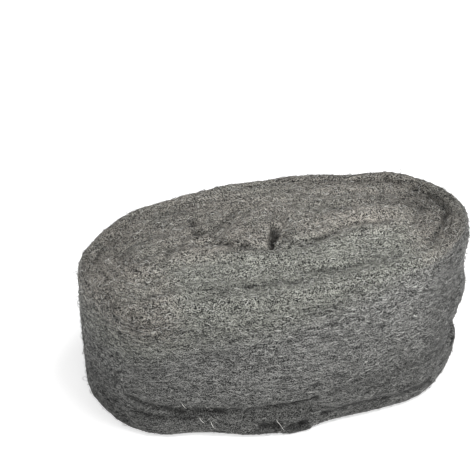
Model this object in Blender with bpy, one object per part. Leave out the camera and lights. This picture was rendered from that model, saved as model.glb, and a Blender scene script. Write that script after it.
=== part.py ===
"""Steel wool pad: one long flat strip of steel wool, wound flat into an oval and standing on its edge.

Metres, +Z up. The pad is long in X and deep in Y, and the strip's width is its height.
The origin is on the floor, in the middle of the footprint.

The winding is first drawn as a plain two-centre spiral: straight passes along X, joined by half
circles whose centres lie half a pitch apart in Y. In that drawing y is measured from the middle
pass. lay() then spreads the passes, parts them round the folded inner end and shuts them where
nothing lies between them, and press() gives the whole roll its bulge, taper and lean.
"""
import math

import bmesh
import bpy
import numpy as np

# Strip
STRIP_WIDTH = 0.0725
TURN_PITCH = 0.0080
TURN_GAP = 0.0004
WHOLE_TURNS = 3

# Winding, in plan
FOLD_SPAN = 0.102
FLANK_SPREAD_SHARE = 0.38
SPREAD_REACH = 0.072
SPREAD_POWER = 2.2
SMALLEST_BEND = 0.0010
FLANK_STATIONS = 21
FOLD_STATIONS = 12
PASS_SHARE = 0.35

# Room that the turns leave in the middle for the folded inner end
NEAR_ROOM = 0.0077
NEAR_ROOM_START = -0.040
NEAR_ROOM_FULL = 0.002
NEAR_ROOM_FADE = 0.0054
NEAR_FADE_START = 0.012
NEAR_FADE_END = 0.036
FAR_ROOM = 0.0091
FAR_ROOM_START = -0.027
FAR_ROOM_FULL = -0.005
FAR_ROOM_FADE = 0.0084
FAR_FADE_START = 0.005
FAR_FADE_END = 0.032
SHUT_GAP = 0.0003
EYE_LENGTH = 0.014

# Where the turns of either end have slumped towards the near side
LEFT_SAG = 0.0070
LEFT_SAG_START = -0.036
LEFT_SAG_FULL = -0.062
LEFT_SAG_FADE = -0.066
LEFT_SAG_END = -0.084
RIGHT_SAG = 0.0030
RIGHT_SAG_START = 0.039

# Folded inner end: a tongue that goes up, bends over a slit and comes down as a lump. The lump fills
# the room between the tongue and the near turns, and the pass that leaves it swells up to the far ones.
SLIT_X = 0.008
SLIT_ABOVE_MIDDLE = 0.0034
SLIT_WIDTH = 0.0010
TONGUE_LENGTH = 0.0235
TONGUE_ROOT = 0.0180
TONGUE_END = 0.0235
TONGUE_ANGLE = math.radians(54)
TONGUE_SHARES = (0.8, 0.6, 0.4, 0.2)
TIP_SHARES = (1.0, 0.7, 0.0)
TIP_ROUND = 0.0018
TIP_PINCH_SHARE = 0.25
CREST_THICKNESS = 0.0112
CREST_FALL_POWER = 2.8
LUMP_THICKNESS = 0.0118
LUMP_SWELL_SHARE = 0.6
LUMP_LENGTH = 0.0010
LUMP_ANGLE = math.radians(-108)
LUMP_BEND = 0.0008
CORNER_SHARE = 1.6
CORNER_PASSES = 4
RISE_ANGLE = math.radians(24)
RISE_SWELL = 0.0130
RISE_SHARES = (0.08, 0.30, 0.55, 0.80)
CORE_END = 0.032

# Outer end: the last pass thins out to nothing, and its lower edge is drawn up
TAIL_END_THICKNESS = 0.0009
TAIL_THIN_START = 0.005
TAIL_THIN_END = -0.075
TAIL_FOLD_SHARE = 0.25
HEM_RIGHT = 0.0070
HEM_RIGHT_START = 0.074
HEM_RIGHT_FULL = 0.038
HEM_LEFT = 0.0080
HEM_LEFT_START = 0.018
HEM_LEFT_FULL = 0.004
HEM_CORNER = 0.0040
HEM_CORNER_START = -0.020
HEM_CORNER_FULL = -0.060
FOOT_SETBACK = 0.0008
SHELF_LEAST = 0.0005
SHELF_EASE = 0.0020
SHELF = 0.0090
SHELF_WALL_SHARE = 0.55
HEM_CLEARANCE = 0.0006
HEM_CLEARANCE_SHARE = 0.1

# Edges
CROWN = 0.0022
CORE_CROWN = 0.0036
RIM_ROUND = 0.0085
RIM_SHIFT_SHARE = 0.10
RIM_EASE_SHARE = 0.08
LOWER_ROUND = 0.0022
LOWER_INSET_SHARE = 0.15
ROUND_ANGLES = [math.radians(angle) for angle in (90, 50, 18)]

# Most that an edge's rounding takes of the strip's thickness there, and of the step below the hem
MOST_CROWN = 0.45
MOST_RIM = 1.5
MOST_LOWER_ROUND = 0.4
MOST_LOWER_RISE = 0.3

# Hollow and ripple of the upper edge
DISH = 0.0020
DISH_LEFT_SHARE = 0.6
DISH_LEFT_START = -0.020
DISH_LEFT_FULL = -0.060
RIPPLE = 0.0007
RIPPLE_LENGTH = 0.043
SLOW_RIPPLE_LENGTH = 0.099

# Pressed form of the whole roll
LEAN = 0.0060
TAPER = 0.0002
BULGE = 0.0008
EGG_SHARE = 0.10
UNDERCUT = 0.0012
UNDERCUT_TOP_SHARE = 0.42
UNDERCUT_FULL_SHARE = 0.10
FLARE = 0.0022
FLARE_TOP_SHARE = 0.24
FLARE_DEPTH_START = 0.015
FLARE_DEPTH_FULL = 0.040
FLARE_LEFT_START = -0.076
FLARE_LEFT_FULL = -0.055
FLARE_RIGHT_START = 0.014
FLARE_RIGHT_FULL = -0.002

HALF_PITCH = TURN_PITCH / 2
HALF_THICK = (TURN_PITCH - TURN_GAP) / 2
RIGHT_FOLD = (FOLD_SPAN - HALF_PITCH) / 2
LEFT_FOLD = RIGHT_FOLD - FOLD_SPAN
OUTER_PASS = (WHOLE_TURNS + 0.5) * TURN_PITCH
HALF_LENGTH = RIGHT_FOLD + OUTER_PASS + HALF_PITCH
HALF_DEPTH = (OUTER_PASS + HALF_PITCH) * (1.0 + FLANK_SPREAD_SHARE)
FLANK_X = np.linspace(LEFT_FOLD, RIGHT_FOLD, FLANK_STATIONS + 2)[1:-1]
ROUNDING = 1e-6


def clear_scene():
    for obj in list(bpy.data.objects):
        bpy.data.objects.remove(obj, do_unlink=True)


def ramp(value, start, end):
    """0 at start and before it, 1 at end and beyond it, and smooth between. Start may lie above end."""
    t = np.clip((np.asarray(value, float) - start) / (end - start), 0.0, 1.0)
    return t * t * (3.0 - 2.0 * t)


def unit(angle):
    return np.array([math.cos(angle), math.sin(angle)])


def shut_turns(x):
    """Below 0 where the turns on either side of the middle pass meet, left of the folded end."""
    return (SHUT_GAP - HALF_PITCH) * (1.0 - ramp(x, LEFT_FOLD, LEFT_FOLD - EYE_LENGTH))


def near_room(x):
    """How far the near turns are parted from their drawn place."""
    shut = shut_turns(x)
    opened = shut + (NEAR_ROOM - shut) * ramp(x, NEAR_ROOM_START, NEAR_ROOM_FULL)
    return opened - NEAR_ROOM_FADE * ramp(x, NEAR_FADE_START, NEAR_FADE_END)


def far_room(x):
    shut = shut_turns(x)
    opened = shut + (FAR_ROOM - shut) * ramp(x, FAR_ROOM_START, FAR_ROOM_FULL)
    return opened - FAR_ROOM_FADE * ramp(x, FAR_FADE_START, FAR_FADE_END)


def spread(x):
    """The passes lie thicker at mid length than at the folds."""
    return 1.0 + FLANK_SPREAD_SHARE * (1.0 - np.clip(np.abs(x) / SPREAD_REACH, 0.0, 1.0) ** SPREAD_POWER)


def lay(points):
    """Move points (x, y) of the drawn spiral to where they lie in the pad."""
    points = np.atleast_2d(points)
    x, y = points[:, 0], points[:, 1]
    near, far = near_room(x), far_room(x)
    room = OUTER_PASS - HALF_PITCH
    middle = y * (TURN_PITCH + near + far) / TURN_PITCH + (far - near) / 2
    beyond_far = HALF_PITCH + far + (y - HALF_PITCH) * (room - far) / room
    beyond_near = -HALF_PITCH - near + (y + HALF_PITCH) * (room - near) / room
    laid = np.where(y > HALF_PITCH, beyond_far, np.where(y < -HALF_PITCH, beyond_near, middle))
    laid = np.where(np.abs(y) > OUTER_PASS, y, laid)
    laid = (laid + HALF_PITCH) * spread(x)
    inside = np.clip(1.0 - (laid / HALF_DEPTH) ** 2, 0.0, 1.0)
    left = ramp(x, LEFT_SAG_START, LEFT_SAG_FULL) * (1.0 - ramp(x, LEFT_SAG_FADE, LEFT_SAG_END))
    laid = laid - LEFT_SAG * left * inside - RIGHT_SAG * ramp(x, RIGHT_SAG_START, HALF_LENGTH)
    return np.stack([x, laid], axis=1)


def tail_share(x):
    """1 where the outer pass has its full thickness, 0 where it is thinnest."""
    return float(ramp(x, TAIL_THIN_END, TAIL_THIN_START))


def tail_thickness(x):
    return TAIL_END_THICKNESS + (2 * HALF_THICK - TAIL_END_THICKNESS) * tail_share(x)


def hem(x):
    """Height of the outer pass's lower edge above the floor."""
    lift = HEM_RIGHT * ramp(x, HEM_RIGHT_START, HEM_RIGHT_FULL)
    lift = lift + HEM_LEFT * ramp(x, HEM_LEFT_START, HEM_LEFT_FULL)
    return float(lift + HEM_CORNER * ramp(x, HEM_CORNER_START, HEM_CORNER_FULL))


class Station:
    """One cross-section of the strip: its inner and outer face in plan, and what its edges do."""

    def __init__(self, inner, outer, turn, foot=None, lift=0.0, crown=CROWN, rim=CROWN, shelf=SHELF):
        self.inner = np.asarray(inner, float)
        self.outer = np.asarray(outer, float)
        self.foot = self.outer if foot is None else np.asarray(foot, float)
        self.turn = turn
        self.lift = lift
        self.crown = crown
        self.rim = rim
        self.shelf = shelf


def rim_round(turn, cover):
    """The upper outer edge is well rounded where no turn, or only a thin one, lies outside it."""
    uncovered = WHOLE_TURNS - 0.5
    share = max(float(ramp(turn, uncovered, uncovered + RIM_EASE_SHARE)), 1.0 - cover)
    return CROWN + (RIM_ROUND - CROWN) * share


def foot_length(x):
    """The turn under the drawn-up edge spreads out to just short of that edge's face."""
    reach = tail_thickness(x) + TURN_GAP - FOOT_SETBACK
    return max(reach, 0.0) * float(ramp(hem(x), SHELF_LEAST, SHELF_EASE))


def wound_station(x, y, angle, turn, edge_x, inner=-HALF_THICK):
    """A station of the drawn spiral, given by its centre and the angle of its outward normal.

    edge_x is where the outer pass lies on the same normal, because it sets what the hem does.
    """
    near_side = math.sin(angle) < -ROUNDING
    outermost = near_side and turn >= WHOLE_TURNS
    covered = near_side and WHOLE_TURNS - 1 <= turn < WHOLE_TURNS
    outer = tail_thickness(edge_x) - HALF_THICK if outermost else HALF_THICK
    foot = foot_length(edge_x) if covered else 0.0
    lift = hem(edge_x) if outermost else 0.0
    centre, normal = np.array([x, y]), unit(angle)
    faces = lay([centre + normal * inner, centre + normal * outer, centre + normal * (outer + foot)])
    rim = rim_round(turn, tail_share(edge_x) if covered else 1.0)
    shelf = max(hem(edge_x), SHELF_LEAST) if covered else lift + SHELF
    return Station(faces[0], faces[1], turn, foot=faces[2], lift=lift, rim=rim, shelf=shelf)


def straight_pass(y, heading, turn, start=-math.inf):
    """Stations along a straight pass; heading is 1 to the right and -1 to the left."""
    stations = []
    for x in FLANK_X[::heading]:
        share = (x - LEFT_FOLD) / FOLD_SPAN
        passed = share if heading > 0 else 1.0 - share
        if x >= start:
            at = turn + PASS_SHARE * passed
            stations.append(wound_station(x, y, heading * math.pi / 2, at, x))
    return stations


def fold(centre, radius, start_angle, turn, steps=FOLD_STATIONS):
    """Stations round a half circle, or the first steps of one, clockwise from start_angle."""
    stations = []
    for k in range(steps + 1):
        angle = start_angle - math.pi * k / FOLD_STATIONS
        x, y = np.array(centre) + radius * unit(angle)
        edge_x = centre[0] + OUTER_PASS * math.cos(angle)
        at = turn + (0.5 - PASS_SHARE) * k / FOLD_STATIONS
        inner = max(-HALF_THICK, SMALLEST_BEND - radius)
        stations.append(wound_station(x, y, angle, at, edge_x, inner=inner))
    return stations


def between_turns(point):
    """Keep a point of the folded inner end a gap away from the turns on either side."""
    near, far = lay([[point[0], -HALF_PITCH], [point[0], HALF_PITCH]])[:, 1]
    return np.array([point[0], min(max(point[1], near + TURN_GAP), far - TURN_GAP)])


def fill_corner(point, slit):
    """Keep a point of the lump a slit away from the tongue's face, and a gap away from the turns."""
    left = unit(TONGUE_ANGLE + math.pi / 2)
    for _ in range(CORNER_PASSES):
        over = (point - slit) @ left + SLIT_WIDTH / 2
        point = between_turns(point - left * max(over, 0.0))
    return point


def core_station(inner, outer):
    return Station(between_turns(inner), between_turns(outer), 0.0, crown=CORE_CROWN, rim=CORE_CROWN)


def curve(start, end, leave, arrive, t):
    """Point at t on the cubic from start to end with the given end directions."""
    square, cube = t * t, t * t * t
    ends = (2 * cube - 3 * square + 1) * start + (3 * square - 2 * cube) * end
    return ends + (cube - 2 * square + t) * leave + (cube - square) * arrive


def folded_end():
    """The strip's inner end, from the tongue's tip to where it joins the middle pass."""
    middle = lay([[SLIT_X, -HALF_PITCH], [SLIT_X, HALF_PITCH]])[:, 1].mean()
    slit = np.array([SLIT_X, middle + SLIT_ABOVE_MIDDLE])
    half_slit = SLIT_WIDTH / 2
    stations = []

    up, left = unit(TONGUE_ANGLE), unit(TONGUE_ANGLE + math.pi / 2)
    for share in TIP_SHARES:
        tip = slit - up * (TONGUE_LENGTH + TIP_ROUND * share)
        pinch = TIP_PINCH_SHARE * share * share
        stations.append(core_station(
            tip + left * (half_slit + TONGUE_END * pinch), tip + left * TONGUE_END * (1.0 - pinch)))
    for share in TONGUE_SHARES:
        at = slit - up * TONGUE_LENGTH * share
        thick = TONGUE_ROOT + (TONGUE_END - TONGUE_ROOT) * share
        stations.append(core_station(at + left * half_slit, at + left * thick))

    turned = LUMP_ANGLE - TONGUE_ANGLE
    for k in range(FOLD_STATIONS + 1):
        share = k / FOLD_STATIONS
        normal = unit(TONGUE_ANGLE + math.pi / 2 + turned * share)
        thick = CREST_THICKNESS + (TONGUE_ROOT - CREST_THICKNESS) * (1.0 - share) ** CREST_FALL_POWER
        thick = thick + (LUMP_THICKNESS - CREST_THICKNESS) * float(ramp(share, LUMP_SWELL_SHARE, 1.0))
        stations.append(core_station(slit + normal * half_slit, slit + normal * thick))

    down, left = unit(LUMP_ANGLE), unit(LUMP_ANGLE + math.pi / 2)
    pivot = slit + down * LUMP_LENGTH + left * (LUMP_THICKNESS + LUMP_BEND)
    first, last = LUMP_ANGLE - math.pi / 2, RISE_ANGLE - math.pi / 2
    steps = FOLD_STATIONS * 2 // 3
    for k in range(steps + 1):
        normal = unit(first + (last - first) * k / steps)
        corner = 1.0 + CORNER_SHARE * math.sin(math.pi * k / steps)
        outer = pivot + normal * LUMP_BEND
        inner = pivot + normal * (LUMP_BEND + LUMP_THICKNESS - half_slit) * corner
        stations.append(core_station(fill_corner(inner, slit), outer))

    join = FLANK_X[np.searchsorted(FLANK_X, CORE_END)]
    near, far = lay([[join, -HALF_THICK], [join, HALF_THICK]])
    run = join - pivot[0]
    leave, arrive = unit(RISE_ANGLE) * run, unit(0.0) * run
    for t in RISE_SHARES:
        swollen = curve(outer, far, leave, arrive, t) + np.array([0.0, RISE_SWELL * (1.0 - t)])
        stations.append(core_station(curve(inner, near, leave, arrive, t), swollen))
    return stations


def winding():
    """All stations of the strip, from its inner end to its outer end."""
    stations = folded_end()
    stations += straight_pass(0.0, 1, -PASS_SHARE, start=CORE_END)
    right, left = (RIGHT_FOLD, -HALF_PITCH), (LEFT_FOLD, 0.0)
    for k in range(WHOLE_TURNS):
        y = (k + 1) * TURN_PITCH
        stations += fold(right, y - HALF_PITCH, math.pi / 2, k)
        stations += straight_pass(-y, -1, k + 0.5 - PASS_SHARE)
        stations += fold(left, y, -math.pi / 2, k + 0.5)
        stations += straight_pass(y, 1, k + 1 - PASS_SHARE)
    y = (WHOLE_TURNS + 1) * TURN_PITCH
    stations += fold(right, y - HALF_PITCH, math.pi / 2, WHOLE_TURNS)
    stations += straight_pass(-y, -1, WHOLE_TURNS + 0.5 - PASS_SHARE)
    stations += fold(left, y, -math.pi / 2, WHOLE_TURNS + 0.5, steps=int(FOLD_STATIONS * TAIL_FOLD_SHARE))
    return stations


def top_height(station, run):
    """Height of the strip's upper edge: inner turns sit lower, and the edge ripples a little."""
    dish = DISH * math.sin(math.pi * min(max(station.turn, 0.0) / (WHOLE_TURNS + 0.5), 1.0))
    x = (station.inner[0] + station.outer[0]) / 2
    dish = dish * (1.0 + DISH_LEFT_SHARE * float(ramp(x, DISH_LEFT_START, DISH_LEFT_FULL)))
    ripple = math.sin(2 * math.pi * run / RIPPLE_LENGTH) + math.sin(2 * math.pi * run / SLOW_RIPPLE_LENGTH)
    return STRIP_WIDTH - dish + RIPPLE * ripple / 2


def section(station, run):
    """Closed loop of points (x, y, z) round one cross-section, starting at the inner lower edge."""
    inner, outer, foot = station.inner, station.outer, station.foot
    thick = np.linalg.norm(outer - inner)
    base = station.lift
    rise = station.shelf - base
    lower = min(LOWER_ROUND, MOST_LOWER_ROUND * thick, MOST_LOWER_RISE * rise)
    crown = min(station.crown, MOST_CROWN * thick)
    rim = min(station.rim, MOST_RIM * thick)
    top = top_height(station, run) - (station.rim - rim)
    shelf = station.shelf - min(HEM_CLEARANCE, HEM_CLEARANCE_SHARE * rise)

    def across(share):
        return inner + (outer - inner) * share

    def side(low, high, share):
        return low + (high - low) * share

    middle = 0.5 - RIM_SHIFT_SHARE * (rim - crown) / RIM_ROUND
    loop = [
        (across(0.0), base + lower),
        (across(LOWER_INSET_SHARE), base),
        (across(1.0 - LOWER_INSET_SHARE) + foot - outer, base),
        (foot, base + lower),
    ]
    for turned in (0.0, math.pi / 4, math.pi / 2):
        height = SHELF_WALL_SHARE + (1.0 - SHELF_WALL_SHARE) * math.sin(turned)
        loop.append((side(outer, foot, math.cos(turned)), side(base + lower, shelf, height)))
    loop.append((outer, side(shelf, top - rim, 1 / 3)))
    loop.append((outer, side(shelf, top - rim, 2 / 3)))
    for lean in ROUND_ANGLES:
        loop.append((across(middle + (1.0 - middle) * math.sin(lean)), top - rim * (1.0 - math.cos(lean))))
    for lean in reversed(ROUND_ANGLES):
        loop.append((across(middle - middle * math.sin(lean)), top - crown * (1.0 - math.cos(lean))))
    loop.append((across(0.0), side(base + lower, top - crown, 2 / 3)))
    loop.append((across(0.0), side(base + lower, top - crown, 1 / 3)))
    return np.array([(p[0], p[1], z) for p, z in loop])


def foot_flare(x, y, up):
    """How far the foot of the near side has crept out, left of the middle."""
    along = ramp(x, FLARE_LEFT_START, FLARE_LEFT_FULL) * ramp(x, FLARE_RIGHT_START, FLARE_RIGHT_FULL)
    return FLARE * along * ramp(up, FLARE_TOP_SHARE, 0.0) * ramp(-y, FLARE_DEPTH_START, FLARE_DEPTH_FULL)


def press(points):
    """Bulge, taper, lean, flared foot and narrower right end, as the soft roll has settled."""
    x, y, z = points[:, 0], points[:, 1], points[:, 2]
    up = z / STRIP_WIDTH
    swell = TAPER * (up - 0.5) + BULGE * 4.0 * up * (1.0 - up)
    low = ramp(up, UNDERCUT_TOP_SHARE, UNDERCUT_FULL_SHARE)
    tuck = UNDERCUT * ramp(x, HALF_LENGTH / 2, HALF_LENGTH) * low
    along = x / HALF_LENGTH
    pressed = np.empty_like(points)
    pressed[:, 0] = x * (1.0 + swell / HALF_LENGTH) - tuck
    pressed[:, 1] = y * (1.0 + swell / HALF_DEPTH) * (1.0 - EGG_SHARE * up * along) - foot_flare(x, y, up)
    pressed[:, 2] = z + LEAN / 2 * up * along
    return pressed


def strip_mesh(name):
    stations = winding()
    run = 0.0
    loops = []
    for k, station in enumerate(stations):
        if k:
            before = stations[k - 1]
            run += np.linalg.norm(station.inner + station.outer - before.inner - before.outer) / 2
        loops.append(press(section(station, run)))
    points = np.array(loops)
    flat = points.reshape(-1, 3)
    middle = (flat.min(axis=0) + flat.max(axis=0)) / 2
    points[:, :, :2] -= middle[:2]

    bm = bmesh.new()
    rings = [[bm.verts.new(p) for p in loop] for loop in points]
    count = len(rings[0])
    for before, after in zip(rings, rings[1:]):
        for k in range(count):
            n = (k + 1) % count
            bm.faces.new((before[k], after[k], after[n], before[n]))
    bm.faces.new(rings[0])
    bm.faces.new(rings[-1][::-1])
    bmesh.ops.triangulate(bm, faces=[f for f in bm.faces if len(f.verts) > 4])
    bmesh.ops.recalc_face_normals(bm, faces=bm.faces)
    mesh = bpy.data.meshes.new(name)
    bm.to_mesh(mesh)
    bm.free()
    mesh.shade_smooth()
    mesh.set_sharp_from_angle(angle=math.radians(50))
    return mesh


def steel_wool_material():
    """Fine grey steel fibre, dull as a mass though each fibre is bare metal."""
    material = bpy.data.materials.new("steel_wool")
    material.use_nodes = True
    shader = material.node_tree.nodes["Principled BSDF"]
    shader.inputs["Base Color"].default_value = (0.15, 0.15, 0.14, 1.0)
    shader.inputs["Metallic"].default_value = 0.5
    shader.inputs["Roughness"].default_value = 0.6
    return material


def build():
    clear_scene()
    mesh = strip_mesh("wool_roll")
    mesh.materials.append(steel_wool_material())
    roll = bpy.data.objects.new("wool_roll", mesh)
    bpy.context.scene.collection.objects.link(roll)


build()
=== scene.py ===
"""Looks of the steel wool pad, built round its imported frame.

Metres, +Z up, in the frame's own axes: X along the pad, Y across it, and the near side at -Y.
The skin is one mesh grown from the wound strip: its turns are grown together, and the creases
between them are drawn in again as deep as they show. Loose fibres lie on it as fine tubes.
"""

import collections
import math

import bmesh
import bpy
import numpy as np
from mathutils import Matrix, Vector, noise
from mathutils.bvhtree import BVHTree


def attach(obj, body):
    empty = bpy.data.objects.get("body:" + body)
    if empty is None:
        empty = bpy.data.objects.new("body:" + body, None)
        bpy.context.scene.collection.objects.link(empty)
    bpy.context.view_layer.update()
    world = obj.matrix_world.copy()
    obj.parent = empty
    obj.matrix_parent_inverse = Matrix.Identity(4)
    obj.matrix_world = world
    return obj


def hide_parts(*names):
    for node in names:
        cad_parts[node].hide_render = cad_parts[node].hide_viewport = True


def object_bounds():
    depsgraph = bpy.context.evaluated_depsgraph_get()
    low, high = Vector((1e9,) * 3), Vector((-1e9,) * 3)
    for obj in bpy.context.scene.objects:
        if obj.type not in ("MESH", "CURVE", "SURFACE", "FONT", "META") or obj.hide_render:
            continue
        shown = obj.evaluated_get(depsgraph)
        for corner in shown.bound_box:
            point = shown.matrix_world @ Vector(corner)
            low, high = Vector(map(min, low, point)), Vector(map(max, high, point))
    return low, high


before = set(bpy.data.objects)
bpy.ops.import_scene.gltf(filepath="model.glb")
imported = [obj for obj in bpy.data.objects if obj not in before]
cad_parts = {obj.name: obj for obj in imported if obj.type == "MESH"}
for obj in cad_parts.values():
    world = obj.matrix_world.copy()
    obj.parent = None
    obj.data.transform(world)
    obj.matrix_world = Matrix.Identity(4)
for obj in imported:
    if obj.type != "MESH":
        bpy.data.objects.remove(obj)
cad_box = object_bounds()
LOW, HIGH = np.array(cad_box[0]), np.array(cad_box[1])
SIZE = HIGH - LOW
RNG = np.random.default_rng(7)

# Winding, in plan: straight passes between two fold centres, and a ring of the same length all round
FOLD_INSET = 0.030
SPINE_LEFT = LOW[0] + FOLD_INSET
SPINE_RIGHT = HIGH[0] - FOLD_INSET
SPAN = SPINE_RIGHT - SPINE_LEFT
BEND_RADIUS = 0.40 * SIZE[1]
RING_RADIUS = SPAN / math.pi + BEND_RADIUS

# Skin: how far the strip is grown to close the gaps between its turns, and shrunk again
GROW = 0.0016
SHRINK = 0.0019
GROW_VOXEL = 0.0011
SKIN_VOXEL = 0.00082
SMOOTH_STEPS = 5
SMOOTH_FACTOR = 0.5
WELD_DISTANCE = 1e-6

# The pairs from here to the camera are spans: where a thing starts to show, and where it shows in full.
# Top, near side and ends of the skin, by place and by the share of its normal that points their way
TOP_HEIGHT = (SIZE[2] - 0.016, SIZE[2] - 0.006)
TOP_FACING = (0.15, 0.55)
NEAR_DISTANCE = (0.0, 0.010)
NEAR_FACING = (0.1, 0.4)
END_FACING = (0.45, 0.80)

# Creases between turns, by how far outside the strip the skin lies there, and none at the foot
CREASE_OUTSIDE = (-0.0002, 0.0016)
CREASE_HEIGHT = (0.010, 0.020)
CREASE_FILL = 0.0006
CREASE_CARVE = 0.0008
# Painted shade in the creases
CREASE_DARK = 0.15

# How well the core's creases and the outer turn's show, by their share of the way out from the middle
CORE_STRENGTH = 0.8
CORE_EDGE = (0.42, 0.30)
OUTER_STRENGTH = 0.7
OUTER_EDGE = (0.62, 0.74)
OUTER_ACROSS = (-0.020, 0.005)

# Right end: its far rim swells, by place and by the share of the way out to the pad's ellipse, squared
RIM_SWELL = 0.0030
RIM_ALONG = (0.040, 0.074)
RIM_ACROSS = (-0.019, -0.001)
RIM_HEIGHT = (0.055, 0.070)
RIM_OUTWARD = (0.78, 0.90)

# Right end, below the rim: a shoulder, a hollow, and a loose layer down to the foot
END_ALONG = (0.070, 0.075)
END_ACROSS = (0.010, 0.0)
SHOULDER_SWELL = 0.0011
SHOULDER_TOP = (0.052, 0.044)
SHOULDER_BOTTOM = (0.034, 0.040)
HOLLOW_DEPTH = 0.0021
HOLLOW_TOP = (0.036, 0.022)
LAYER_SWELL = 0.0009
LAYER_TOP = 0.0160
LAYER_EDGE = 0.001
LAYER_FOOT = (0.003, 0.009)

# Lobe at the foot of the near side
LOBE_SWELL = 0.0010
LOBE_LEFT = (-0.009, -0.003)
LOBE_RIGHT = (0.007, 0.005)
LOBE_HEIGHT = (0.012, 0.004)
LOBE_ACROSS = (0.0, -0.020)

# Painted shade: darker at the left end, at the right end most near its top, and from a height down to the
# foot
LEFT_DARK = 0.30
LEFT_DARK_ALONG = (-0.045, -0.078)
RIGHT_DARK = 0.42
RIGHT_DARK_ON_TOP = (0.052, 0.080)
RIGHT_DARK_BELOW = (0.046, 0.070)
RIGHT_DARK_AT_FOOT = 0.4
RIGHT_DARK_HEIGHT = (0.0, 0.060)
FOOT_DARK = 0.74
FOOT_HEIGHT = 0.062

# What one full mark or crease of painted shade takes off the wool's brightness, and how far painted light
# and shade can take it
MARK_DARKENS = 0.75
DARKEST = 0.20
LIGHTEST = 1.75

# Camera, from the outline of the pad in the picture
IMAGE_SIZE = 470
FOCAL_PIXELS = 1292.0
PAD_PIXEL = (274.5, 298.7)
SENSOR_MM = 36.0
CAMERA_AZIMUTH = math.radians(-15.4)
CAMERA_ELEVATION = math.radians(38.5)
CAMERA_DISTANCE = 0.55
PAD_CENTRE = Vector((0.0, 0.0, 0.0364))

# Waves of the skin: how high, how long, and how many times longer along the strip than across it
Wave = collections.namedtuple("Wave", "height size stretch octaves")

LUMPS = (Wave(0.0006, 0.022, 2.0, 3),)
SIDE_WAVES = (Wave(0.00034, 0.0042, 10.0, 3), Wave(0.00020, 0.0014, 9.0, 2))
TOP_WAVES = (Wave(0.00030, 0.0085, 2.0, 3), Wave(0.00018, 0.0018, 2.0, 2))

# Creases and patches, each a line with a width, a depth and how much it darkens, below 0 where it
# is lighter: painted shade in creases and dark patches, painted light in light ones. Top lines are (x, y)
# in plan, and side lines are (x, z) on the near side.
Mark = collections.namedtuple("Mark", "points width depth dark")

# Marks are ragged: their strength waves about 1, between these limits
RAGGED_WAVES = (Wave(0.8, 0.004, 1.0, 3),)
RAGGED_LIMITS = (0.2, 1.4)

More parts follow.
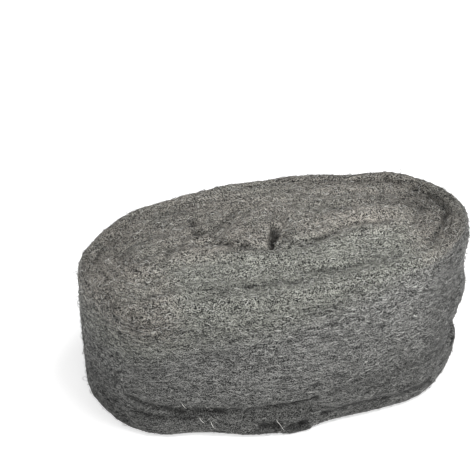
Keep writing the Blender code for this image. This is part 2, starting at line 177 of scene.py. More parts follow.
TOP_MARKS = (
    # The outer turn's inner edge, from the far side round the right end
    Mark(((-0.001, 0.036), (0.012, 0.0362), (0.0247, 0.0335), (0.0373, 0.0308), (0.0565, 0.0262)),
         0.0011, 0.0008, 0.50),
    Mark(((0.0560, 0.0252), (0.0612, 0.0209), (0.0675, 0.0137), (0.0713, 0.0065), (0.0729, 0.0004),
          (0.0724, -0.0054), (0.0686, -0.0108)), 0.0011, 0.0012, 0.42),
    Mark(((0.0686, -0.0108), (0.0636, -0.0172), (0.0594, -0.0220)), 0.0014, 0.0008, 0.45),
    # The same edge at the left end, soft, with painted shade inside it
    Mark(((-0.0504, 0.0323), (-0.0587, 0.0236), (-0.0677, 0.0144), (-0.0748, 0.0045)),
         0.0016, 0.0008, 0.35),
    Mark(((-0.056, 0.025), (-0.0625, 0.0125), (-0.060, 0.0)), 0.0055, 0.0002, 0.28),
    # Near side of the core, from the left
    Mark(((-0.0488, -0.0069), (-0.0434, -0.0008), (-0.0357, 0.008), (-0.0307, 0.0106)),
         0.0013, 0.0010, 0.50),
    Mark(((-0.0229, 0.002), (-0.0174, -0.0035), (-0.0119, -0.0061), (-0.0078, -0.009),
          (-0.0035, -0.0078)), 0.0012, 0.0012, 0.75),
    Mark(((0.0029, -0.0037), (0.0053, -0.008), (0.0127, -0.0087), (0.0217, -0.0062), (0.030, -0.001)),
         0.0011, 0.0009, 0.65),
    Mark(((0.030, -0.001), (0.0398, -0.0042), (0.0512, -0.0084)), 0.0011, 0.0007, 0.40),
    # Folded end: its left side, its slit with painted shade beside it, and the pit on its left
    Mark(((-0.0291, 0.0105), (-0.0243, 0.010), (-0.0171, 0.0163), (-0.0122, 0.0214), (-0.007, 0.0248)),
         0.0016, 0.0011, 0.62),
    Mark(((-0.0036, -0.0075), (-0.0008, -0.002)), 0.0009, 0.0026, 1.10),
    Mark(((-0.0008, -0.002), (0.0006, 0.0014), (0.0018, 0.0046)), 0.0013, 0.0030, 1.20),
    Mark(((0.0015, -0.0055), (0.0045, -0.0020)), 0.0035, 0.0, 0.22),
    Mark(((0.0021, 0.0094), (0.0065, 0.0108)), 0.0018, 0.0008, 0.60),
    Mark(((-0.0299, 0.0217), (-0.0307, 0.0134), (-0.0299, 0.0106)), 0.0017, 0.0014, 0.80),
    # Painted shade along the far rim, at the far left, and on the right
    Mark(((0.010, 0.0395), (0.034, 0.0370), (0.058, 0.0260)), 0.0065, 0.0, 0.22),
    Mark(((-0.060, 0.023), (-0.045, 0.028), (-0.032, 0.031)), 0.0055, 0.0, 0.34),
    Mark(((-0.062, 0.016), (-0.040, 0.018), (-0.022, 0.024)), 0.0110, 0.0, 0.14),
    Mark(((0.0255, 0.0145), (0.0335, 0.0112)), 0.0026, 0.0003, 0.40),
    Mark(((0.047, 0.0165), (0.0577, 0.0102)), 0.0040, 0.0003, 0.32),
    Mark(((0.053, 0.013), (0.064, 0.007)), 0.0060, 0.0, 0.42),
    Mark(((0.0651, 0.0045), (0.0578, -0.0078)), 0.0014, 0.0003, 0.40),
    # Painted light on the near turns, on those at the left rim, and on those on the right
    Mark(((-0.035, -0.012), (0.000, -0.020), (0.045, -0.018)), 0.0090, 0.0, -0.30),
    Mark(((-0.060, -0.012), (-0.036, -0.024)), 0.0060, 0.0, -0.18),
    Mark(((0.018, 0.002), (0.050, -0.001)), 0.0080, 0.0, -0.40),
    # Between turns on the near side
    Mark(((-0.0373, -0.0262), (-0.0274, -0.0285), (-0.0118, -0.0300), (-0.0053, -0.0299),
          (-0.0004, -0.0325)), 0.0013, 0.0008, 0.50),
    Mark(((-0.0195, -0.0292), (-0.0165, -0.0295)), 0.0014, 0.0003, 0.85),
    Mark(((-0.0040, -0.0312), (-0.0004, -0.0328)), 0.0014, 0.0003, 0.85),
    Mark(((0.0045, -0.0258), (0.0193, -0.0280), (0.0283, -0.0268), (0.0447, -0.0266)),
         0.0016, 0.0008, 0.65),
)
SIDE_MARKS = (
    # Step above the hem on the left, and the line below it
    Mark(((-0.0673, 0.0209), (-0.0592, 0.0178), (-0.0479, 0.0130)), 0.0012, 0.0010, 0.90),
    Mark(((-0.0479, 0.0130), (-0.0372, 0.0125), (-0.0130, 0.0146)), 0.0012, 0.0006, 0.55),
    Mark(((-0.0130, 0.0146), (-0.0077, 0.0150), (0.0004, 0.0160), (0.0070, 0.0174)), 0.0013, 0.0016, 1.40),
    Mark(((-0.0660, 0.0125), (-0.0538, 0.0112), (-0.0411, 0.0095)), 0.0010, 0.0005, 0.75),
    # Step above the hem on the right, with painted shade over it
    Mark(((0.0118, 0.0069), (0.0200, 0.0087), (0.0382, 0.0085), (0.0496, 0.0090), (0.0603, 0.0082)),
         0.0012, 0.0006, 0.60),
    Mark(((0.0193, 0.0193), (0.0368, 0.0201), (0.0530, 0.0225), (0.0678, 0.0215)), 0.0050, 0.0002, 0.20),
    # Gaps between fibres on the left, darkened with painted shade
    Mark(((-0.0720, 0.0654), (-0.0645, 0.0663), (-0.0520, 0.0656)), 0.0011, 0.0004, 0.45),
    Mark(((-0.0713, 0.0603), (-0.0586, 0.0603), (-0.0456, 0.0570)), 0.0010, 0.0004, 0.45),
    # Painted shade on the left, below the rim, and right of the middle
    Mark(((-0.055, 0.0635), (-0.047, 0.0625)), 0.0050, 0.0, 0.20),
    Mark(((-0.055, 0.0515), (-0.030, 0.0510)), 0.0040, 0.0, 0.20),
    Mark(((-0.056, 0.038), (-0.040, 0.037), (-0.026, 0.045)), 0.0080, 0.0, 0.20),
    Mark(((-0.002, 0.068), (0.015, 0.067)), 0.0060, 0.0, 0.34),
    Mark(((0.013, 0.053), (0.027, 0.049)), 0.0075, 0.0, 0.20),
    # Painted light low on the left
    Mark(((-0.040, 0.034), (-0.026, 0.036)), 0.0050, 0.0, -0.18),
    # Notches at the foot, darkened with painted shade
    Mark(((-0.0152, 0.0058), (-0.0093, 0.0050)), 0.0016, 0.0020, 1.20),
    Mark(((-0.0028, 0.0043), (0.0019, 0.0044)), 0.0019, 0.0020, 1.20),
)

# Loose fibres: how many pieces, how many in each, and their size; how much thinner or thicker than
# that each may be, and how they taper, down to a share of their thickness at the ends
FIBRE_PIECES = 4
FIBRES_EACH = 5900
FIBRE_POINTS = 6
FIBRE_STEP = 0.00050
FIBRE_RADIUS = 0.00008
FIBRE_SIDES = 3
FIBRE_THICKNESS = (0.6, 1.3)
END_THICKNESS = 0.45
TAPER_POWER = 0.6

# Where they lie: hardly any at the very foot, and more loosely where the skin faces up
FIBRE_FOOT = (0.0, 0.003)
LOOSE_FACING = (0.2, 0.7)

# How far their headings stray from the strip's, and how they curl, both in radians; the length of a
# curl; how far their middles stand off the skin, as a gamma distribution; how far their ends dip in it;
# and how light they are, as a beta distribution
HEADING_SPREAD = 0.32
TOP_SPREAD = 0.80
CURL = (0.2, 1.0)
TOP_CURL = 0.4
CURL_LENGTH = (0.0025, 0.008)
LOFT_SHAPE = 0.9
LOFT_SCALE = 0.00034
FIBRE_DIP = 0.00015
FIBRE_SHADES = (0.5, 0.8)

# Single fibres that stand off the near side: both ends as (x, z), and how light they are; how far their
# middles stand off, and their ends as a share of it; and how much thicker they are than loose fibres
Stray = collections.namedtuple("Stray", "start end shade")

STRAYS = (
    Stray((-0.0471, 0.0186), (-0.0447, 0.0136), 1.0),
    Stray((-0.0405, 0.0108), (-0.0380, 0.0070), 1.0),
    Stray((-0.0358, 0.0086), (-0.0345, 0.0050), 1.0),
    Stray((-0.0094, 0.0086), (-0.0064, 0.0036), 1.0),
    Stray((-0.0096, 0.0036), (-0.0088, 0.0004), 0.0),
)
STRAY_LIFT = 0.0006
STRAY_END_LIFT = 0.3
STRAY_THICKNESS = 1.5

# Wool's tone, from the dark between fibres to the fibres' own light grey, with a little blue taken away
DARK_TONE = 0.0
LIGHT_TONE = 0.45
YELLOW = 0.045

# Tints: oily wool on top and down to a slanting edge on the side, and rust in patches on the far side
# and at the ends. A patch takes a part of the noise, and the rust is weaker between patches.
OILY_TINT = (0.985, 1.0, 0.935, 1.0)
OILY_EDGE = 0.058
OILY_SLOPE = 0.25
OILY_FADE = (-0.008, 0.008)
RUST_TINT = (1.075, 1.0, 1.0, 1.0)
RUST_ACROSS = (-0.015, -0.001)
RUST_LEFT = (-0.040, -0.055)
RUST_LEFT_HEIGHT = (0.045, 0.062)
RUST_RIGHT = (0.045, 0.060)
RUST_PATCH_SIZE = 0.020
RUST_PATCH_SPAN = (0.35, 0.65)
RUST_PATCH_STRENGTH = (0.6, 1.2)

# Noise of the materials. Noise that doesn't follow the strip is turned off the pad's axes.
NOISE_ROUGHNESS = 0.6
NOISE_MIDDLE = 0.5
NOISE_AXIS = (0.8, 0.5, 0.33)
NOISE_ANGLE = 0.9

# Grain, and longer grain at the pad's ends: their size and the part of the noise that they use
GRAIN_SIZE = 0.00042
GRAIN_SPAN = (0.40, 0.60)
LONG_GRAIN_SIZE = 0.00046
LONG_GRAIN_STRETCH = 2.6
LONG_GRAIN_SPAN = (0.43, 0.57)

# Strands, and long gaps: the size of their noise, how many times longer it is along the strip, and the
# width of their lines in it. Strands have a share in the tone and gaps take from it, on the side and on top.
Strand = collections.namedtuple("Strand", "size stretch width")

STRANDS = Strand(0.0011, 6.0, 0.08)
STRANDS_SHARE = (0.22, 0.10)
GAPS = Strand(0.0019, 9.0, 0.05)
GAPS_TONE = (-0.34, -0.12)
STRAND_DISTORTION = 0.5

# Streaks: their size, the part of the noise that they use, and what they take from the tone or add to it
STREAK_SIZE = 0.0013
STREAK_STRETCH = 16.0
STREAK_SPAN = (0.38, 0.62)
STREAK_TONE = (-0.10, 0.14)

# Surface of the skin, less rough in flecks, and of the fibres with the darkest and the lightest tone
SKIN_METALLIC = 0.35
FLECK_SIZE = 0.0005
FLECK_SPAN = (0.60, 0.72)
FLECK_ROUGHNESS = (0.65, 0.30)
BUMP_STRENGTH = 0.8
BUMP_HEIGHT = 0.0005
FIBRE_METALLIC = 0.7
FIBRE_ROUGHNESS = 0.38
FIBRE_TONES = (0.02, 1.0)

# Floor and light
WHITE = (1.0, 1.0, 1.0, 1.0)
FLOOR_REACH = 6.0
FLOOR_DROP = 0.0002
FLOOR_TONE = 0.80
FLOOR_ROUGHNESS = 0.9
FLOOR_SPECULAR = 0.1
FLOOR_GLOW = 0.52
WORLD_STRENGTH = 0.48

Lamp = collections.namedtuple("Lamp", "name place size power")

LAMPS = (
    Lamp("key", (0.25, -0.20, 0.90), 0.45, 6.5),
    Lamp("fill", (-0.10, -1.1, 0.70), 0.9, 4.2),
)


def ramp(value, start, end):
    """0 at start and before it, 1 at end and beyond it, and smooth between. Start may lie above end."""
    t = np.clip((np.asarray(value, float) - start) / (end - start), 0.0, 1.0)
    return t * t * (3.0 - 2.0 * t)


def unit_rows(vectors):
    """The vectors of an array, each made 1 long."""
    return vectors / np.maximum(np.linalg.norm(vectors, axis=-1, keepdims=True), 1e-9)


def distance_to_line(places, points):
    """Distance in the plane from each place (n, 2) to a line through points."""
    nearest = np.full(len(places), np.inf)
    for start, end in zip(points, points[1:]):
        start, end = np.array(start), np.array(end)
        run = end - start
        share = np.clip((places - start) @ run / (run @ run), 0.0, 1.0)
        away = np.linalg.norm(places - start - share[:, None] * run, axis=1)
        nearest = np.minimum(nearest, away)
    return nearest


def marked(places, marks, strength):
    """Summed depth of marks at places (n, 2), and how dark they are there, below 0 where they are light."""
    depth = np.zeros(len(places))
    dark, light = np.zeros(len(places)), np.zeros(len(places))
    for mark in marks:
        near = strength * np.exp(-(distance_to_line(places, mark.points) / mark.width) ** 2)
        depth += mark.depth * near
        dark = np.maximum(dark, mark.dark * near)
        light = np.maximum(light, -mark.dark * near)
    return depth, dark - light


def winding(points):
    """At points: the way the strip runs, the distance out from the spine, and the place round the ring."""
    x, y = points[:, 0], points[:, 1]
    on_spine = np.clip(x, SPINE_LEFT, SPINE_RIGHT)
    out = np.stack([x - on_spine, y], axis=1)
    radial = np.linalg.norm(out, axis=1)
    out = unit_rows(out)
    along = np.stack([out[:, 1], -out[:, 0], np.zeros(len(x))], axis=1)
    clockwise = np.arctan2(out[:, 0], out[:, 1]) % (2 * math.pi)
    far_side = (y > 0) & (x >= SPINE_LEFT)
    straight = np.where(far_side, on_spine - SPINE_LEFT, SPAN + SPINE_RIGHT - on_spine)
    turn = (straight + clockwise * BEND_RADIUS) / RING_RADIUS
    ring = RING_RADIUS * np.stack([np.cos(turn), np.sin(turn)], axis=1)
    return along, radial, ring


def fractal(points, size, octaves):
    """Noise in about -1 to 1 with features of the given size, each octave half as large and half as high."""
    return np.array([noise.fractal(Vector(p), 1.0, 2.0, octaves) for p in (points / size).tolist()])


def waved(points, run_axes, waves):
    """Summed waves at points, stretched along the axes that run_axes marks with 1."""
    total = np.zeros(len(points))
    for wave in waves:
        scale = 1.0 - np.array(run_axes) * (1.0 - 1.0 / wave.stretch)
        total += wave.height * fractal(points * scale, wave.size, wave.octaves)
    return total


def mesh_arrays(mesh):
    """Places and normals of the mesh's vertices."""
    count = len(mesh.vertices)
    places, normals = np.empty(count * 3), np.empty(count * 3)
    mesh.vertices.foreach_get("co", places)
    mesh.vertex_normals.foreach_get("vector", normals)
    return places.reshape(-1, 3), normals.reshape(-1, 3)


def move_vertices(mesh, places):
    mesh.vertices.foreach_set("co", places.ravel())
    mesh.update()


def write_attribute(mesh, name, values):
    """Store a number or a vector at each vertex, for the material to read."""
    if values.ndim == 2:
        mesh.attributes.new(name, "FLOAT_VECTOR", "POINT").data.foreach_set("vector", values.ravel())
    else:
        mesh.attributes.new(name, "FLOAT", "POINT").data.foreach_set("value", values)


def mesh_tree(mesh):
    bm = bmesh.new()
    bm.from_mesh(mesh)
    tree = BVHTree.FromBMesh(bm)
    bm.free()
    return tree


def new_piece(name, mesh, material):
    """An object of the scene with that mesh, smooth and in one material."""
    piece = bpy.data.objects.new(name, mesh)
    bpy.context.scene.collection.objects.link(piece)
    mesh.materials.clear()
    mesh.materials.append(material)
    mesh.shade_smooth()
    return piece


def remeshed(mesh, voxel):
    """A new closed mesh of even faces round everything in mesh."""
    holder = bpy.data.objects.new("holder", mesh)
    bpy.context.scene.collection.objects.link(holder)
    modifier = holder.modifiers.new("remesh", "REMESH")
    modifier.mode = "VOXEL"
    modifier.voxel_size = voxel
    graph = bpy.context.evaluated_depsgraph_get()
    made = bpy.data.meshes.new_from_object(holder.evaluated_get(graph))
    bpy.data.objects.remove(holder)
    return made


def moved_out(mesh, distance):
    """A welded copy of mesh with its vertices moved out along their normals."""
    bm = bmesh.new()
    bm.from_mesh(mesh)
    bmesh.ops.remove_doubles(bm, verts=bm.verts, dist=WELD_DISTANCE)
    bm.normal_update()
    for v in bm.verts:
        v.co += v.normal * distance
    made = bpy.data.meshes.new("moved_out")
    bm.to_mesh(made)
    bm.free()
    return made


def smooth(mesh, steps):
    axes = {"use_axis_x": True, "use_axis_y": True, "use_axis_z": True}
    bm = bmesh.new()
    bm.from_mesh(mesh)
    for _ in range(steps):
        bmesh.ops.smooth_vert(bm, verts=bm.verts, factor=SMOOTH_FACTOR, **axes)
    bm.to_mesh(mesh)
    bm.free()
    mesh.update()


def crease_field(places):
    """1 in the depth of a crease between turns of the strip, and 0 on the turns themselves."""
    tree = mesh_tree(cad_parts["wool_roll"].data)
    outside = np.empty(len(places))
    for k, place in enumerate(places.tolist()):
        spot, normal, _, _ = tree.find_nearest(place)
        outside[k] = (Vector(place) - spot).dot(normal)
    return ramp(outside, *CREASE_OUTSIDE) * ramp(places[:, 2], *CREASE_HEIGHT)


def crease_strength(places, radial):
    """How deep a crease shows: the outer turn's and the core's show well, and those between hardly."""
    level = np.maximum(np.abs(places[:, 1]), radial) / (0.5 * SIZE[1])
    core = ramp(level, *CORE_EDGE)
    outer = ramp(level, *OUTER_EDGE) * ramp(places[:, 1], *OUTER_ACROSS)
    return np.maximum(CORE_STRENGTH * core, OUTER_STRENGTH * outer)


def swollen(places):
    """How far the skin stands out: at the right end, and in a lobe at the foot of the near side."""
    x, y, z = places.T
    outward = (2.0 * x / SIZE[0]) ** 2 + (2.0 * y / SIZE[1]) ** 2
    rim = RIM_SWELL * ramp(x, *RIM_ALONG) * ramp(y, *RIM_ACROSS) * ramp(z, *RIM_HEIGHT)
    rim = rim * ramp(outward, *RIM_OUTWARD)
    end = ramp(x, *END_ALONG) * ramp(y, *END_ACROSS)
    shoulder = SHOULDER_SWELL * end * ramp(z, *SHOULDER_TOP) * ramp(z, *SHOULDER_BOTTOM)
    above_layer = ramp(z, LAYER_TOP, LAYER_TOP + LAYER_EDGE)
    in_layer = ramp(z, LAYER_TOP, LAYER_TOP - LAYER_EDGE)
    hollow = HOLLOW_DEPTH * end * above_layer * ramp(z, *HOLLOW_TOP)
    layer = LAYER_SWELL * end * in_layer * ramp(z, *LAYER_FOOT)
    lobe = LOBE_SWELL * ramp(x, *LOBE_LEFT) * ramp(x, *LOBE_RIGHT)
    lobe = lobe * ramp(z, *LOBE_HEIGHT) * ramp(y, *LOBE_ACROSS)
    return rim + shoulder + layer - hollow + lobe


def broad_shade(places, upper):
    """How much painted shade darkens the wool towards the foot and the ends, at the right end most near its
    top.
    """
    x, _, z = places.T
    right = upper * ramp(x, *RIGHT_DARK_ON_TOP) + (1.0 - upper) * ramp(x, *RIGHT_DARK_BELOW)
    right = right * (RIGHT_DARK_AT_FOOT + ramp(z, *RIGHT_DARK_HEIGHT))
    foot = np.clip(1.0 - z / FOOT_HEIGHT, 0.0, 1.0)
    return LEFT_DARK * ramp(x, *LEFT_DARK_ALONG) + RIGHT_DARK * right + FOOT_DARK * foot


def tints(places, upper):
    """How oily and how rusty the wool is."""
    x, y, z = places.T
    oily = np.maximum(upper, ramp(z - OILY_EDGE - OILY_SLOPE * x, *OILY_FADE))
    rusty = np.maximum(upper * ramp(y, *RUST_ACROSS), upper * ramp(x, *RUST_RIGHT))
    rusty = np.maximum(rusty, ramp(x, *RUST_LEFT) * ramp(z, *RUST_LEFT_HEIGHT))
    return oily, rusty


def closed_skin():
    """The strip with its turns grown together: one closed mesh of even, smooth faces."""
    grown = moved_out(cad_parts["wool_roll"].data, GROW)
    mesh = remeshed(moved_out(remeshed(grown, GROW_VOXEL), -SHRINK), SKIN_VOXEL)
    smooth(mesh, SMOOTH_STEPS)
    return mesh


def skin_zones(places, normals):
    """How far each place belongs to the top, to the near side and to one of the ends."""
    upper = ramp(places[:, 2], *TOP_HEIGHT) * ramp(normals[:, 2], *TOP_FACING)
    near_side = (1.0 - upper) * ramp(-places[:, 1], *NEAR_DISTANCE) * ramp(-normals[:, 1], *NEAR_FACING)
    end = (1.0 - upper) * ramp(np.abs(normals[:, 0]), *END_FACING)
    return upper, near_side, end


def skin_waves(places, radial, ring, upper):
    """How far out the waves carry the skin: lumps all over, and finer waves on the side and on top."""
    unrolled = np.stack([ring[:, 0], ring[:, 1], places[:, 2] - radial], axis=1)
    side_waves = waved(unrolled, (1, 1, 0), SIDE_WAVES)
    top_waves = waved(places, (1, 0, 0), TOP_WAVES)
    return waved(places, (1, 0, 0), LUMPS) + upper * top_waves + (1.0 - upper) * side_waves


def skin_mesh():
    """The skin with its waves, creases and marks, and with what its material needs at each vertex."""
    mesh = closed_skin()
    places, normals = mesh_arrays(mesh)
    _, radial, ring = winding(places)
    upper, near_side, end = skin_zones(places, normals)
    crease = crease_field(places)
    strength = crease_strength(places, radial)
    ragged = np.clip(1.0 + waved(places, (0, 0, 0), RAGGED_WAVES), *RAGGED_LIMITS)
    top_depth, top_dark = marked(places[:, :2], TOP_MARKS, ragged)
    side_depth, side_dark = marked(places[:, ::2], SIDE_MARKS, ragged)

    out = skin_waves(places, radial, ring, upper)
    out = out + crease * (CREASE_FILL * (1.0 - strength) - CREASE_CARVE * strength)
    out = out - upper * top_depth - near_side * side_depth + swollen(places)
    # Painted shade in creases, dark marks, towards the ends and at the foot, and painted light in light
    # marks
    shadow = CREASE_DARK * crease * strength + upper * top_dark + near_side * side_dark
    shadow = shadow + broad_shade(places, upper)
    oily, rusty = tints(places, upper)
    places = places + normals * out[:, None]
    places[:, 2] = np.maximum(places[:, 2], 0.0)
    move_vertices(mesh, places)

    lay = np.stack([ring[:, 0], ring[:, 1], places[:, 2]], axis=1)
    bright = np.clip(1.0 - MARK_DARKENS * shadow, DARKEST, LIGHTEST)
    looks = {"lay": lay, "across": radial, "upper": upper, "end": end, "bright": bright,
             "oily": oily, "rusty": rusty}
    for name, values in looks.items():
        write_attribute(mesh, name, values)
    return mesh


def surface_samples(mesh, count, rng):
    """Points spread evenly over the mesh above its foot, and the normal at each."""
    mesh.calc_loop_triangles()
    corners = np.empty(len(mesh.loop_triangles) * 3, np.int32)
    mesh.loop_triangles.foreach_get("vertices", corners)
    places, _ = mesh_arrays(mesh)
    a, b, c = places[corners.reshape(-1, 3)].transpose(1, 0, 2)
    cross = np.cross(b - a, c - a)
    area = np.linalg.norm(cross, axis=1)
    normal = unit_rows(cross)
    weight = area * ramp(a[:, 2], *FIBRE_FOOT)
    picked = rng.choice(len(area), size=count, p=weight / weight.sum())
    u, v = rng.random(count), rng.random(count)
    flip = u + v > 1.0
    u, v = np.where(flip, 1.0 - u, u), np.where(flip, 1.0 - v, v)
    spots = a[picked] + (b - a)[picked] * u[:, None] + (c - a)[picked] * v[:, None]
    return spots, normal[picked]


def face_brightness(mesh):
    """How bright each face of the skin is drawn with its painted light and shade, from its corners."""
    bright = np.empty(len(mesh.vertices))
    mesh.attributes["bright"].data.foreach_get("value", bright)
    return np.array([bright[list(face.vertices)].mean() for face in mesh.polygons])


def stepped(tree, spots, normals, turn):
    """Places one step further over the skin, turned from the way the strip runs, with normals and faces."""
    along, _, _ = winding(spots)
    along = unit_rows(along - normals * np.sum(along * normals, axis=1, keepdims=True))
    across = np.cross(normals, along)
    aims = spots + FIBRE_STEP * (np.cos(turn)[:, None] * along + np.sin(turn)[:, None] * across)
    places, normals, faces, _ = zip(*(tree.find_nearest(aim) for aim in aims.tolist()))
    return np.array(places), np.array(normals), np.array(faces)


def fibre_paths(mesh, tree, count, rng):
    """Curly paths over the skin, mostly the way the strip runs, their normals, and the face past each end.

    Each rises from the skin in its middle and dips into it at its ends.
    """
    spots, normals = surface_samples(mesh, count, rng)
    top = ramp(normals[:, 2], *LOOSE_FACING)
    heading = rng.normal(0.0, HEADING_SPREAD + TOP_SPREAD * top, count)
    heading = heading + math.pi * rng.integers(0, 2, count)
    curl = rng.uniform(*CURL, count) * (1.0 + TOP_CURL * top)
    wave = rng.uniform(*CURL_LENGTH, count)
    phase = rng.uniform(0.0, 2 * math.pi, count)
    loft = rng.gamma(LOFT_SHAPE, LOFT_SCALE, count)
    dip = rng.uniform(0.0, FIBRE_DIP, count)
    paths = np.empty((count, FIBRE_POINTS, 3))
    ups = np.empty((count, FIBRE_POINTS, 3))
    for k in range(FIBRE_POINTS):
        share = k / (FIBRE_POINTS - 1)
        rise = loft * math.sin(math.pi * share) - dip
        paths[:, k] = spots + normals * rise[:, None]
        ups[:, k] = normals
        turn = heading + curl * np.sin(2 * math.pi * k * FIBRE_STEP / wave + phase)
        spots, normals, faces = stepped(tree, spots, normals, turn)
    paths[:, :, 2] = np.maximum(paths[:, :, 2], FIBRE_RADIUS)
    return paths, ups, faces


def stray_paths(tree):
    """Paths of the single fibres, a little off the near side and most in their middle."""
    paths = np.empty((len(STRAYS), FIBRE_POINTS, 3))
    shares = np.linspace(0.0, 1.0, FIBRE_POINTS)
    for n, stray in enumerate(STRAYS):
        for k, share in enumerate(shares):
            x, z = np.array(stray.start) * (1.0 - share) + np.array(stray.end) * share
            place, _, _, _ = tree.ray_cast(Vector((x, 2.0 * LOW[1], z)), Vector((0.0, 1.0, 0.0)))
            paths[n, k] = place
            paths[n, k, 1] -= STRAY_LIFT * (STRAY_END_LIFT + math.sin(math.pi * share))
    ups = np.zeros_like(paths)
    ups[:, :, 1] = -1.0
    return paths, ups


def tube_mesh(name, paths, ups, radius):
    """Closed tubes round paths (n, points, 3), thinner towards their ends."""
    count, length, _ = paths.shape
    run = unit_rows(np.gradient(paths, axis=1))
    side = unit_rows(np.cross(run, ups))
    lift = np.cross(side, run)
    bulge = np.sin(math.pi * np.linspace(0.0, 1.0, length)) ** TAPER_POWER
    taper = END_THICKNESS + (1.0 - END_THICKNESS) * bulge
    thick = radius[:, None, None] * taper[None, :, None]
    rings = []
    for k in range(FIBRE_SIDES):
        angle = 2 * math.pi * k / FIBRE_SIDES
        rings.append(paths + thick * (math.cos(angle) * side + math.sin(angle) * lift))
    places = np.stack(rings, axis=2).reshape(-1, 3)
    start = (np.arange(count) * length * FIBRE_SIDES)[:, None, None]
    ring = (np.arange(length - 1) * FIBRE_SIDES)[None, :, None]
    k = np.arange(FIBRE_SIDES)[None, None, :]
    n = (k + 1) % FIBRE_SIDES
    low, high = start + ring + k, start + ring + n
    quads = np.stack([low, high, high + FIBRE_SIDES, low + FIBRE_SIDES], axis=3).reshape(-1, 4)
    first = start[:, :, 0] + np.arange(FIBRE_SIDES)[::-1]
    last = start[:, :, 0] + (length - 1) * FIBRE_SIDES + np.arange(FIBRE_SIDES)
    mesh = bpy.data.meshes.new(name)
    mesh.from_pydata(places.tolist(), [], quads.tolist() + first.tolist() + last.tolist())
    return mesh


def node(tree, kind, inputs=None, **settings):
    """A shader node with its settings, and its inputs as values or as sockets to link."""
    made = tree.nodes.new("ShaderNode" + kind)
    for name, value in settings.items():
        setattr(made, name, value)
    for key, value in (inputs or {}).items():
        if isinstance(value, bpy.types.NodeSocket):
            tree.links.new(value, made.inputs[key])
        else:
            made.inputs[key].default_value = value
    return made


def attribute(tree, name, output="Fac"):
    return node(tree, "Attribute", attribute_name=name).outputs[output]


def math_node(tree, operation, first, second=0.0):
    return node(tree, "Math", {0: first, 1: second}, operation=operation).outputs[0]


def mix_value(tree, factor, first, second):
    return node(tree, "Mix", {0: factor, 2: first, 3: second}, data_type="FLOAT").outputs[0]


def mix_colour(tree, factor, first, second, blend="MIX"):
    return node(tree, "Mix", {0: factor, 6: first, 7: second}, data_type="RGBA", blend_type=blend).outputs[2]


def remap(tree, value, low, high, new_low=0.0, new_high=1.0):
    """A value carried over from one range to another, and held inside it."""
    inputs = {0: value, 1: low, 2: high, 3: new_low, 4: new_high}
    return node(tree, "MapRange", inputs, clamp=True).outputs[0]


def plain_noise(tree, size, detail=1.0):
    """Noise that is the same in all directions, turned so that no side of the pad lies along its grid."""
    place = node(tree, "TexCoord").outputs["Object"]
    turned = node(tree, "VectorRotate", {"Vector": place, "Axis": NOISE_AXIS, "Angle": NOISE_ANGLE})
    inputs = {"Vector": turned.outputs[0], "Scale": 1.0 / size, "Detail": detail,
              "Roughness": NOISE_ROUGHNESS}
    return node(tree, "TexNoise", inputs).outputs["Fac"]


def wool_noise(tree, size, stretch, detail=1.0, distort=0.0):
    """Noise that follows the strip, stretched along it; the place across the turns is its fourth axis."""
    amounts = (1.0 / stretch, 1.0 / stretch, 1.0)
    lay = node(tree, "VectorMath", {0: attribute(tree, "lay", "Vector"), 1: amounts}, operation="MULTIPLY")
    inputs = {"Vector": lay.outputs[0], "W": attribute(tree, "across"), "Scale": 1.0 / size,
              "Detail": detail, "Roughness": NOISE_ROUGHNESS, "Distortion": distort}
    return node(tree, "TexNoise", inputs, noise_dimensions="4D").outputs["Fac"]


def strands(tree, strand):
    """Thin curving strands: 1 along the lines where a noise crosses its middle, and 0 away from them."""
    curving = wool_noise(tree, strand.size, strand.stretch, distort=STRAND_DISTORTION)
    off_middle = math_node(tree, "SUBTRACT", curving, NOISE_MIDDLE)
    return remap(tree, math_node(tree, "ABSOLUTE", off_middle), 0.0, strand.width, 1.0, 0.0)


def grey(value):
    """A grey with a little blue taken away."""
    return (value, value, value * (1.0 - YELLOW), 1.0)


def wool_tone(tree):
    """0 in the dark between fibres to 1 on them: fine grain, strands, long gaps, and streaks."""
    upper = attribute(tree, "upper")
    grain = remap(tree, plain_noise(tree, GRAIN_SIZE, detail=0.0), *GRAIN_SPAN)
    long_grain = wool_noise(tree, LONG_GRAIN_SIZE, LONG_GRAIN_STRETCH, detail=0.0)
    long_grain = remap(tree, long_grain, *LONG_GRAIN_SPAN)
    grain = mix_value(tree, attribute(tree, "end"), grain, long_grain)
    tone = mix_value(tree, mix_value(tree, upper, *STRANDS_SHARE), grain, strands(tree, STRANDS))
    gaps = math_node(tree, "MULTIPLY", strands(tree, GAPS), mix_value(tree, upper, *GAPS_TONE))
    streaks = wool_noise(tree, STREAK_SIZE, STREAK_STRETCH, detail=2.0)
    streaks = remap(tree, streaks, *STREAK_SPAN, *STREAK_TONE)
    return math_node(tree, "ADD", math_node(tree, "ADD", tone, gaps), streaks)


def wool_colour(tree, tone):
    """Grey by tone, tinted where it is oily or rusty, with painted light and shade: darker in creases, at
    the ends and at the foot.
    """
    colour = mix_colour(tree, tone, grey(DARK_TONE), grey(LIGHT_TONE))
    patches = plain_noise(tree, RUST_PATCH_SIZE, detail=2.0)
    patches = remap(tree, patches, *RUST_PATCH_SPAN, *RUST_PATCH_STRENGTH)
    rusty = math_node(tree, "MULTIPLY", patches, attribute(tree, "rusty"))
    colour = mix_colour(tree, attribute(tree, "oily"), colour, OILY_TINT, "MULTIPLY")
    colour = mix_colour(tree, rusty, colour, RUST_TINT, "MULTIPLY")
    # Painted light and shade from the skin's creases, marks, ends and foot
    bright = attribute(tree, "bright")
    shade = node(tree, "CombineColor", {0: bright, 1: bright, 2: bright}).outputs[0]
    return mix_colour(tree, 1.0, colour, shade, "MULTIPLY")


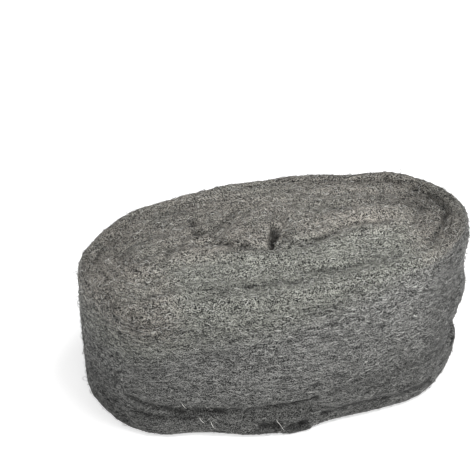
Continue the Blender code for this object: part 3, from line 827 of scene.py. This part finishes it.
def skin_material():
    material = bpy.data.materials.new("steel_wool_skin")
    material.use_nodes = True
    tree = material.node_tree
    shader = tree.nodes["Principled BSDF"]
    tone = wool_tone(tree)
    tree.links.new(wool_colour(tree, tone), shader.inputs["Base Color"])
    roughness = remap(tree, plain_noise(tree, FLECK_SIZE), *FLECK_SPAN, *FLECK_ROUGHNESS)
    tree.links.new(roughness, shader.inputs["Roughness"])
    shader.inputs["Metallic"].default_value = SKIN_METALLIC
    bump = node(tree, "Bump", {"Height": tone, "Strength": BUMP_STRENGTH, "Distance": BUMP_HEIGHT})
    tree.links.new(bump.outputs[0], shader.inputs["Normal"])
    return material


def fibre_material():
    material = bpy.data.materials.new("steel_fibre")
    material.use_nodes = True
    tree = material.node_tree
    shader = tree.nodes["Principled BSDF"]
    dark, light = FIBRE_TONES
    colour = mix_colour(tree, attribute(tree, "shade"), grey(dark), grey(light))
    tree.links.new(colour, shader.inputs["Base Color"])
    shader.inputs["Metallic"].default_value = FIBRE_METALLIC
    shader.inputs["Roughness"].default_value = FIBRE_ROUGHNESS
    return material


def add_skin():
    """The skin, which takes the place of the plain solid, and its mesh for the fibres to lie on."""
    mesh = skin_mesh()
    skin = new_piece("wool_skin", mesh, skin_material())
    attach(skin, "root")
    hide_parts("wool_roll")
    return mesh


def add_fibre_piece(name, paths, ups, radius, shade, material):
    mesh = tube_mesh(name, paths, ups, radius)
    write_attribute(mesh, "shade", np.repeat(shade, FIBRE_POINTS * FIBRE_SIDES))
    piece = new_piece(name, mesh, material)
    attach(piece, "root")


def add_fibres(skin):
    tree = mesh_tree(skin)
    material = fibre_material()
    bright = face_brightness(skin)
    for k in range(FIBRE_PIECES):
        paths, ups, faces = fibre_paths(skin, tree, FIBRES_EACH, RNG)
        radius = FIBRE_RADIUS * RNG.uniform(*FIBRE_THICKNESS, FIBRES_EACH)
        # Each fibre is darkened by the skin's painted shade just past its end
        shade = RNG.beta(*FIBRE_SHADES, FIBRES_EACH) * np.minimum(bright[faces], 1.0)
        add_fibre_piece(f"loose_fibres_{k + 1}", paths, ups, radius, shade, material)
    paths, ups = stray_paths(tree)
    radius = np.full(len(STRAYS), STRAY_THICKNESS * FIBRE_RADIUS)
    shade = np.array([stray.shade for stray in STRAYS])
    add_fibre_piece("stray_fibres", paths, ups, radius, shade, material)


def add_floor():
    """A white floor, with a little glow of its own so that the pad's shadow stays faint."""
    mesh = bpy.data.meshes.new("floor")
    corners = [(x * FLOOR_REACH, y * FLOOR_REACH, 0.0) for x, y in ((-1, -1), (1, -1), (1, 1), (-1, 1))]
    mesh.from_pydata(corners, [], [(0, 1, 2, 3)])
    material = bpy.data.materials.new("floor_white")
    material.use_nodes = True
    shader = material.node_tree.nodes["Principled BSDF"]
    shader.inputs["Base Color"].default_value = (FLOOR_TONE, FLOOR_TONE, FLOOR_TONE, 1.0)
    shader.inputs["Roughness"].default_value = FLOOR_ROUGHNESS
    shader.inputs["Specular IOR Level"].default_value = FLOOR_SPECULAR
    shader.inputs["Emission Color"].default_value = WHITE
    shader.inputs["Emission Strength"].default_value = FLOOR_GLOW
    floor = new_piece("floor", mesh, material)
    floor.location.z = -FLOOR_DROP


def add_light(lamp):
    """A round area light that points at the pad."""
    data = bpy.data.lights.new(lamp.name, "AREA")
    data.shape = "DISK"
    data.size = lamp.size
    data.energy = lamp.power
    light = bpy.data.objects.new(lamp.name, data)
    bpy.context.scene.collection.objects.link(light)
    light.location = lamp.place
    light.rotation_euler = (PAD_CENTRE - Vector(lamp.place)).to_track_quat("-Z", "Y").to_euler()


def add_lights():
    for lamp in LAMPS:
        add_light(lamp)
    world = bpy.data.worlds.new("studio")
    world.use_nodes = True
    background = world.node_tree.nodes["Background"]
    background.inputs["Color"].default_value = WHITE
    background.inputs["Strength"].default_value = WORLD_STRENGTH
    bpy.context.scene.world = world
    bpy.context.scene.view_settings.view_transform = "Standard"


def add_camera():
    """The camera stands where the picture was taken from, and looks past the pad's centre."""
    a, e = CAMERA_AZIMUTH, CAMERA_ELEVATION
    back = Vector((math.sin(a) * math.cos(e), -math.cos(a) * math.cos(e), math.sin(e)))
    right = Vector((math.cos(a), math.sin(a), 0.0))
    up = back.cross(right)
    per_pixel = CAMERA_DISTANCE / FOCAL_PIXELS
    aim = PAD_CENTRE - right * (PAD_PIXEL[0] - IMAGE_SIZE / 2) * per_pixel
    aim = aim + up * (PAD_PIXEL[1] - IMAGE_SIZE / 2) * per_pixel
    data = bpy.data.cameras.new("camera")
    data.sensor_width = SENSOR_MM
    data.lens = FOCAL_PIXELS / IMAGE_SIZE * SENSOR_MM
    camera = bpy.data.objects.new("camera", data)
    bpy.context.scene.collection.objects.link(camera)
    camera.location = PAD_CENTRE + back * CAMERA_DISTANCE
    camera.rotation_euler = (aim - camera.location).to_track_quat("-Z", "Y").to_euler()
    bpy.context.scene.camera = camera


add_camera()
add_lights()
add_floor()
skin_surface = add_skin()
add_fibres(skin_surface)
